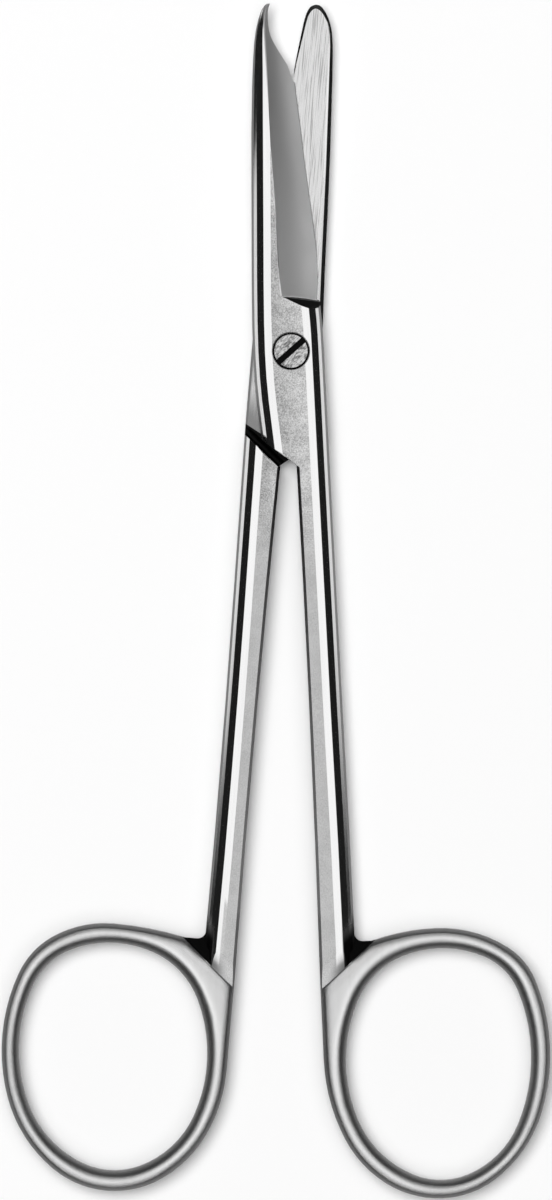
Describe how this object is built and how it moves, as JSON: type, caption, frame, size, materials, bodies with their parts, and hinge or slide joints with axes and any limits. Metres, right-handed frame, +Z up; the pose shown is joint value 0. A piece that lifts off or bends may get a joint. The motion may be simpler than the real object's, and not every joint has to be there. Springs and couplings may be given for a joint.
{
  "type": "suture scissors",
  "caption": "Straight suture scissors: a hooked blade with a suture notch and a blunt round-tipped blade cross on a lap joint with a slotted screw, worked by finger rings.",
  "frame": {"origin": "on the axis of the pivot screw, in the plane of the flat underside of the joint", "axes": "+Y along the blades, halfway between the handles; +X towards the handle of the hooked half; +Z up out of the screw head, square to the flats"},
  "size_m": [0.0641, 0.1392, 0.0044],
  "materials": {
    "half_steel": "polished stainless steel with satin ground faces",
    "screw_steel": "turned stainless steel, satin"
  },
  "bodies": {
    "back_half": {"back_half": "half_steel", "pivot_screw": "screw_steel"},
    "front_half": {"front_half": "half_steel"}
  },
  "joints": [
    {"name": "pivot", "type": "hinge", "parent": "back_half", "child": "front_half", "pos_m": [0, 0, 0.0022], "axis": [0, 0, 1], "range_deg": [-7.7, 60]}
  ]
}
